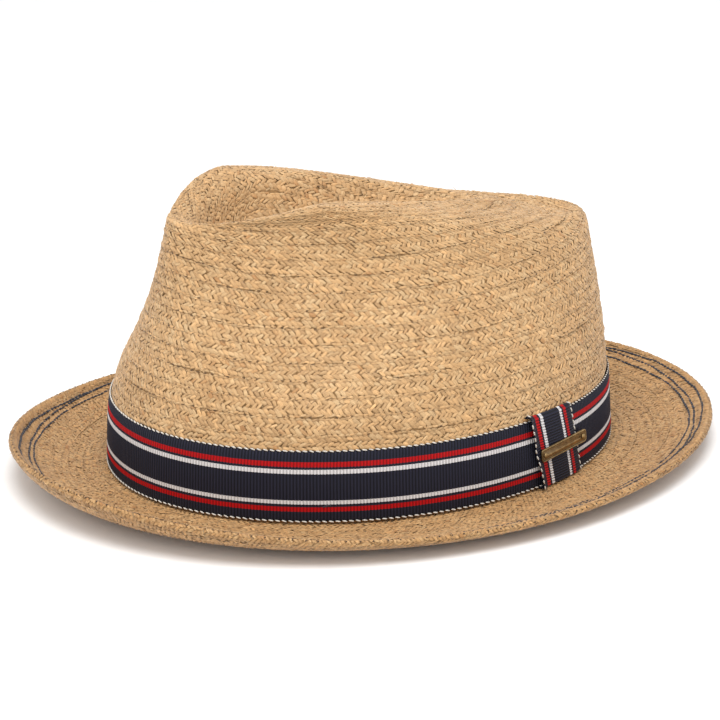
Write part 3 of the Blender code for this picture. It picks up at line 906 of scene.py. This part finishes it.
def plate_frame():
    """The plate's centre and its length, height and outward directions."""
    pace = math.hypot(BASE_HALF_WIDTH * math.cos(KEEPER_ANGLE), BASE_HALF_LENGTH * math.sin(KEEPER_ANGLE))
    angle = KEEPER_ANGLE + PLATE_SHIFT / pace
    z = RIBBON_LOW + MID_RIBBON
    face = 3 * GAP + 2 * RIBBON
    ahead, behind, above, below, centre = wall_points(
        np.array((angle + 0.01, angle - 0.01, angle, angle, angle)),
        np.array((z, z, z + 5, z - 5, z)), face,
    )
    along = unit(ahead - behind)
    up = above - below
    up = unit(up - (up @ along) * along)
    length = math.cos(PLATE_TILT) * along + math.sin(PLATE_TILT) * up
    height = math.cos(PLATE_TILT) * up - math.sin(PLATE_TILT) * along
    return centre, length, height, np.cross(length, height)


def on_plate(points):
    centre, length, height, out = plate_axes
    return centre + points[..., :1] * length + points[..., 1:2] * height + points[..., 2:] * out


WORN = np.array((0.42, 0.29, 0.13))
FIELD = np.array((0.33, 0.22, 0.1))
DARK = np.array((0.07, 0.045, 0.02))


def plate_loops(name, loops, tints, replaced):
    """A brass piece from rings of points round the plate's outward direction."""
    points = on_plate(np.stack(loops)).reshape(-1, 3)
    quads = facing_out(points, grid_quads(len(loops), len(loops[0]), False, True))
    add_piece(name, (points, quads, np.concatenate(tints), None), brass, replaced)


def plate_piece():
    """A bar with a rolled border round a plain, lightly hammered field."""
    length, height, thick = PLATE
    random = np.random.default_rng(31)
    profile = (
        (2.44, 0.0, DARK), (0.5, 0.0, DARK), (0.12, 0.06, DARK), (0.0, 0.2, FIELD),
        (0.0, 0.55, FIELD), (0.07, 0.76, WORN), (0.2, 0.87, WORN), (0.36, 0.9, WORN),
        (0.5, 0.86, WORN), (0.6, 0.74, DARK), (0.68, 0.66, DARK), (0.85, 0.66, FIELD),
        (1.2, 0.7, FIELD), (1.6, 0.73, FIELD), (2.0, 0.75, FIELD),
        (2.44, 0.76, FIELD),
    )
    loops = []
    tints = []
    for inset, z, tint in profile:
        outline = rounded_outline(length - 2 * inset, height - 2 * inset, max(1.3 - inset, 0.01))
        hammer = np.zeros(len(outline))
        if inset > 0.8 and z > 0:
            hammer = random.normal(0, 0.012, len(outline))
        loops.append(np.column_stack([outline, z * thick / 0.9 + hammer]))
        # The front end is painted darker, as painted shade on that end.
        end_shade = np.clip((-outline[:, :1] - 12.2) / 1.5, 0, 1) * 0.7
        tints.append(tint * (1 - end_shade))
    plate_loops("blank_plate", loops, tints, "metal_plate")


def pin_piece(name, side, replaced):
    """A domed pin head with a worn crown."""
    profile = (
        (0.35, 0.0), (0.35, 0.75), (0.9, 0.78), (0.98, 0.88), (0.93, 1.03), (0.78, 1.18), (0.52, 1.3),
        (0.24, 1.36), (0.02, 1.37),
    )
    sides = 20
    turn = 2 * math.pi * np.arange(sides) / sides
    loops = []
    tints = []
    for r, z in profile:
        ring = (side * PLATE_HOLES + r * np.cos(turn), r * np.sin(turn), np.full(sides, z))
        loops.append(np.column_stack(ring))
        tints.append(np.tile(WORN if z > 1.1 else FIELD, (sides, 1)))
    plate_loops(name, loops, tints, replaced)


# Inside band.
SWEATBAND = 0.8
WALL_LOW = 1.9               # where the crown's wall starts, above the brim


def inner_place(z_low, z_high, depth, turn_start):
    """A place() for a strip on the crown's inside, its face turned to the head."""
    def place(s, w, out):
        turn = turn_start + s / wall_girth
        z = z_high + (z_low - z_high) * w
        sag = 0.25 * np.sin(2 * math.pi * 7 * turn) * (1 - w) ** 2
        inner = wall.at(turn, np.maximum(z, WALL_LOW), -(BRAID + depth + out + np.maximum(sag, 0)))
        inner[..., 2] += np.minimum(z - WALL_LOW, 0)
        return inner

    return place


# Build.
crown_out, crown_in, crown_rows = crown_faces()
brim_over, brim_under, top_width = brim_faces()
wall_heights = np.arange(0.0, 34.0, 1.0) + WALL_LOW
wall = Face(wall_points(ANGLES[:, None], wall_heights[None], 0.0), WALL_LOW, 1.0)
wall_girth = float(wall.girth_at(MID_RIBBON))
crown_tip = crown_rows * ROW

straw = raffia_material()
core = shaded_core_material()
navy_thread = thread_material("navy_thread")
tan_thread = thread_material("tan_thread")
white_yarn = thread_material("white_yarn")
ribbon_cloth = grosgrain_material("ribbon", STRIPES, RIB)
keeper_cloth = grosgrain_material("ribbon_keeper", STRIPES, KEEPER_RIB)
sweatband_stripes = ((0.0, (0.05, 0.045, 0.042)), (0.06, (0.035, 0.032, 0.03)), (0.9, (0.055, 0.05, 0.046)))
sweatband_cloth = grosgrain_material("sweatband_cloth", sweatband_stripes, 0.6)
tape_stripes = ((0.0, (0.06, 0.055, 0.05)), (0.5, (0.05, 0.045, 0.042)))
tape_cloth = grosgrain_material("tape_cloth", tape_stripes, 0.5)
brass = brass_material()
label = label_material()

# Braid. The crown's outside rows start out of sight behind the ribbon.
BRAID_LOW = 26.0
made = braid_rows(crown_out, BRAID_LOW, crown_tip, 11)
add_piece("crown_braid", made, straw, "crown_body")
made = braid_rows(crown_in, SWEATBAND_TOP - 3.0, crown_tip, 12, fine=False, relief=0.2, shade=0.92)
add_piece("crown_braid_inside", made, straw)
core_piece("crown_core", crown_out, crown_tip, crown_in, crown_tip, 0.3, 60)
# The brim's straw is painted a little darker than the crown's, partly as painted shade.
BRIM_SHADE = np.array((0.94, 0.86, 0.74))   # the brim's straw is a little browner
brim_braid = {"fine": False, "relief": 0.14, "row": 6.0, "shade": BRIM_SHADE}
made = braid_rows(brim_over, 1.5, top_width, 13, **brim_braid)
add_piece("brim_braid", made, straw, "brim")
made = braid_rows(brim_over, top_width, brim_over.v_end, 14, size=0.8, **brim_braid)
add_piece("hem_braid", made, straw, "brim_hem")
made = braid_rows(brim_under, 0.5, brim_under.v_end - HEM_WIDTH + 3.0, 15, **brim_braid)
add_piece("brim_braid_underside", made, straw)
core_piece("brim_core", brim_over, brim_over.v_end, brim_under, brim_under.v_end, 0.22, 120)
seams = joined((
    row_stitches(crown_out, BRAID_LOW, crown_tip - 10.0, 16, 2.9, 0.25),
    row_stitches(brim_over, 6.0, brim_over.v_end - 8.0, 27, 4.0, 0.6),
))
add_piece("row_stitching", seams, tan_thread)
made = loose_fibres(
    ((crown_out, 30.0, crown_tip - 15.0, 260), (brim_over, 5.0, brim_over.v_end - 6.0, 120)), 17
)
add_piece("loose_fibres", made, straw)
made = wisps(((crown_out, 27.0, crown_tip - 8.0, 9000), (brim_over, 2.0, brim_over.v_end - 4.0, 7000)), 26)
add_piece("straw_splinters", made, straw)

# Stitching on the brim. Each row of navy thread: its mean distance in from the edge, then the size, count
# and start of its waves. The two outer rows wander across each other.
edge_rows = (
    ("outer", 3.6, 0.9, 4, -0.44),
    ("middle", 5.4, -0.9, 4, -0.16),
    ("inner", 8.0, 0.5, 2, 1.0),
)
for number, (row_name, distance, wave, waves, phase) in enumerate(edge_rows):
    def edge_line(turn):
        swing = wave * np.sin(2 * math.pi * waves * turn + phase)
        shake = 0.14 * np.sin(2 * math.pi * 17 * turn + 2 * phase) + 0.12 * np.sin(2 * math.pi * 41 * turn)
        return top_width + HEM_FOLD - distance - swing + shake

    made = stitch_line(brim_over, edge_line, 2.4, 2.35, 0.8, 0.22, 0.4, NAVY_THREAD, 18 + number, 0.2)
    add_piece(f"navy_stitches_{row_name}", made, navy_thread, f"edge_stitch_{row_name}")
hem_start = top_width + math.pi * HEM_FOLD
for number, (row_name, distance) in enumerate((("outer", 2.6), ("inner", 7.6))):
    def hem_line(turn):
        return hem_start + distance - HEM_FOLD + 0.2 * np.sin(2 * math.pi * 9 * turn)

    def fold_line(turn):
        return top_width + 1.5 + 0.25 * np.sin(2 * math.pi * 9 * turn)

    made = stitch_line(brim_over, hem_line, 3.2, 1.5, 0.5, 0.05, 0.26, TAN_THREAD, 22 + number)
    if row_name == "outer":
        holes = stitch_line(brim_over, fold_line, 4.6, 0.6, 0.55, 0.12, 0.3, HOLE_BROWN, 25)
        made = joined((made, holes))
    add_piece(f"hem_stitches_{row_name}", made, tan_thread, f"hem_stitch_{row_name}")

# Ribbon band, keeper and plate.
band_joint = 0.6
keeper_turn = wall.turn_at(KEEPER_ANGLE, MID_RIBBON)
band_start = keeper_turn + 0.5 * band_joint / wall_girth
band_length = wall_girth - band_joint
band = ribbon_piece("grosgrain_band", band_place, band_length, ribbon_cloth, "ribbon_band")
band_picot = picot_piece("band_picot", band_place, band_length, 33)

keeper_route = keeper_path()
keeper_length = float(keeper_route[1][-1])
keeper = ribbon_piece(
    "grosgrain_keeper", keeper_place, keeper_length, keeper_cloth, "ribbon_keeper", KEEPER_RIB
)
keeper_picot = picot_piece("keeper_picot", keeper_place, keeper_length, 34)

plate_axes = plate_frame()
plate_piece()
pin_piece("pin_head_front", -1, "plate_pin_front")
pin_piece("pin_head_rear", 1, "plate_pin_rear")

# Tacks that hold the band's lower stripe to the straw.
tack_random = np.random.default_rng(41)
tack_z = RIBBON_LOW + RIBBON_HEIGHT * 0.22
for number, degrees in enumerate((55, 180, 235, 305), start=1):
    turn = wall.turn_at(math.radians(degrees), MID_RIBBON)
    made = stitch_bits(
        wall, turn + np.array((-0.35, 0.35)) / wall_girth, np.array((tack_z, tack_z + 0.35)),
        np.array((0.12, -0.1)), 2.4, 0.5, GAP + RIBBON + 0.05, 0.3, NAVY_THREAD, tack_random,
    )
    add_piece(f"tack_stitch_{number}", made, navy_thread, f"ribbon_tack_{number}")

# Inside the crown.
SWEATBAND_OFF = 0.4          # between the sweatband and the braid
back = wall.turn_at(math.pi, MID_RIBBON)
sweat_joint = 0.8
sweat_length = wall_girth - sweat_joint
sweat_start = back + 0.5 * sweat_joint / wall_girth
sweat_place = inner_place(SWEATBAND_LOW, SWEATBAND_TOP, SWEATBAND_OFF, sweat_start)
sweat = ribbon_piece(
    "cotton_sweatband", sweat_place, sweat_length, sweatband_cloth, "sweatband", 1.2, SWEATBAND, 0.04, 13
)

reed = wall.at(np.arange(720) / 720, np.full(720, WALL_LOW), -(BRAID + 0.85))
reed[:, 2] = 0.85
points, quads = tube(reed, 0.5, 10, closed=True)
made = (points, quads, np.tile(TAN_THREAD, (len(points), 1)), None)
add_piece("reed_cord", made, tan_thread, "sweatband_reed")

count = round(wall_girth / 2.6)
inner_wall = Face(wall.grid - (BRAID + SWEATBAND_OFF + SWEATBAND) * wall.normal, WALL_LOW, 1.0, -1.0)
made = stitch_bits(
    inner_wall, np.arange(count) / count, np.full(count, SWEATBAND_LOW + 2.3), np.zeros(count), 2.0, 0.45,
    0.12, 0.3, TAN_THREAD, np.random.default_rng(43),
)
add_piece("sweatband_stitches", made, tan_thread, "sweatband_stitching")

near = SWEATBAND_OFF + SWEATBAND + GAP
tape_width = 12.0
tape_place = inner_place(6.0, 29.0, near, back - 0.5 * tape_width / wall_girth)
tape = ribbon_piece("back_tape", tape_place, tape_width, tape_cloth, "joint_tape", 0.7, 0.35, 0.04)
label_width = 14.0
label_turn = wall.turn_at(math.radians(158), MID_RIBBON)
label_place = inner_place(13.0, 23.0, near, label_turn - 0.5 * label_width / wall_girth)
patch = ribbon_piece("blank_label", label_place, label_width, label, "size_label", 0.5, 0.25, 0.02)


# Stage.
def aimed(name, data, place, aim, roll=0.0):
    """A light or camera in the scene, looking at a point."""
    made = bpy.data.objects.new(name, data)
    made.location = place
    made.rotation_mode = "QUATERNION"
    turn = (Vector(aim) - Vector(place)).to_track_quat("-Z", "Y")
    made.rotation_quaternion = turn @ Quaternion((0, 0, 1), roll)
    bpy.context.scene.collection.objects.link(made)
    return made


def light(name, place, size, power):
    """A square lamp turned to the hat's middle."""
    data = bpy.data.lights.new(name, "AREA")
    data.shape = "SQUARE"
    data.size = size
    data.energy = power
    aimed(name, data, place, (0, 0, 0.05))


FLOOR = -1.0                 # just under the lowest strands


def floor_piece():
    look = Look("studio_floor", 0.9, 0.1)
    grain = look.noise(look.place(), 60.0, 2.0)
    look.link(look.ramp(grain, ((0.3, grey(0.9)), (0.7, grey(0.93)))), "Base Color")
    half = 4000.0
    corners = ((-half, -half, FLOOR), (half, -half, FLOOR), (half, half, FLOOR), (-half, half, FLOOR))
    add_mesh("studio_floor", corners, ((0, 1, 2, 3),), look.material)


def studio():
    world = bpy.data.worlds.new("studio")
    world.use_nodes = True
    background = world.node_tree.nodes["Background"]
    background.inputs["Color"].default_value = (1.0, 1.0, 1.0, 1.0)
    background.inputs["Strength"].default_value = 0.92
    bpy.context.scene.world = world
    bpy.context.scene.view_settings.view_transform = "Standard"
    light("key", (0.42, -0.27, 1.4), 0.8, 14.0)
    light("side", (0.7, -0.9, 0.7), 0.9, 2.0)


def camera():
    data = bpy.data.cameras.new("camera")
    data.sensor_width = 36.0
    data.lens = 113.9
    data.clip_start = 0.05
    data.clip_end = 50.0
    roll = math.radians(-0.26)
    aim = (-0.0005, -0.0033, 0.0335)
    bpy.context.scene.camera = aimed("camera", data, (0.7063, -0.4439, 0.3050), aim, roll)


floor_piece()
studio()
camera()
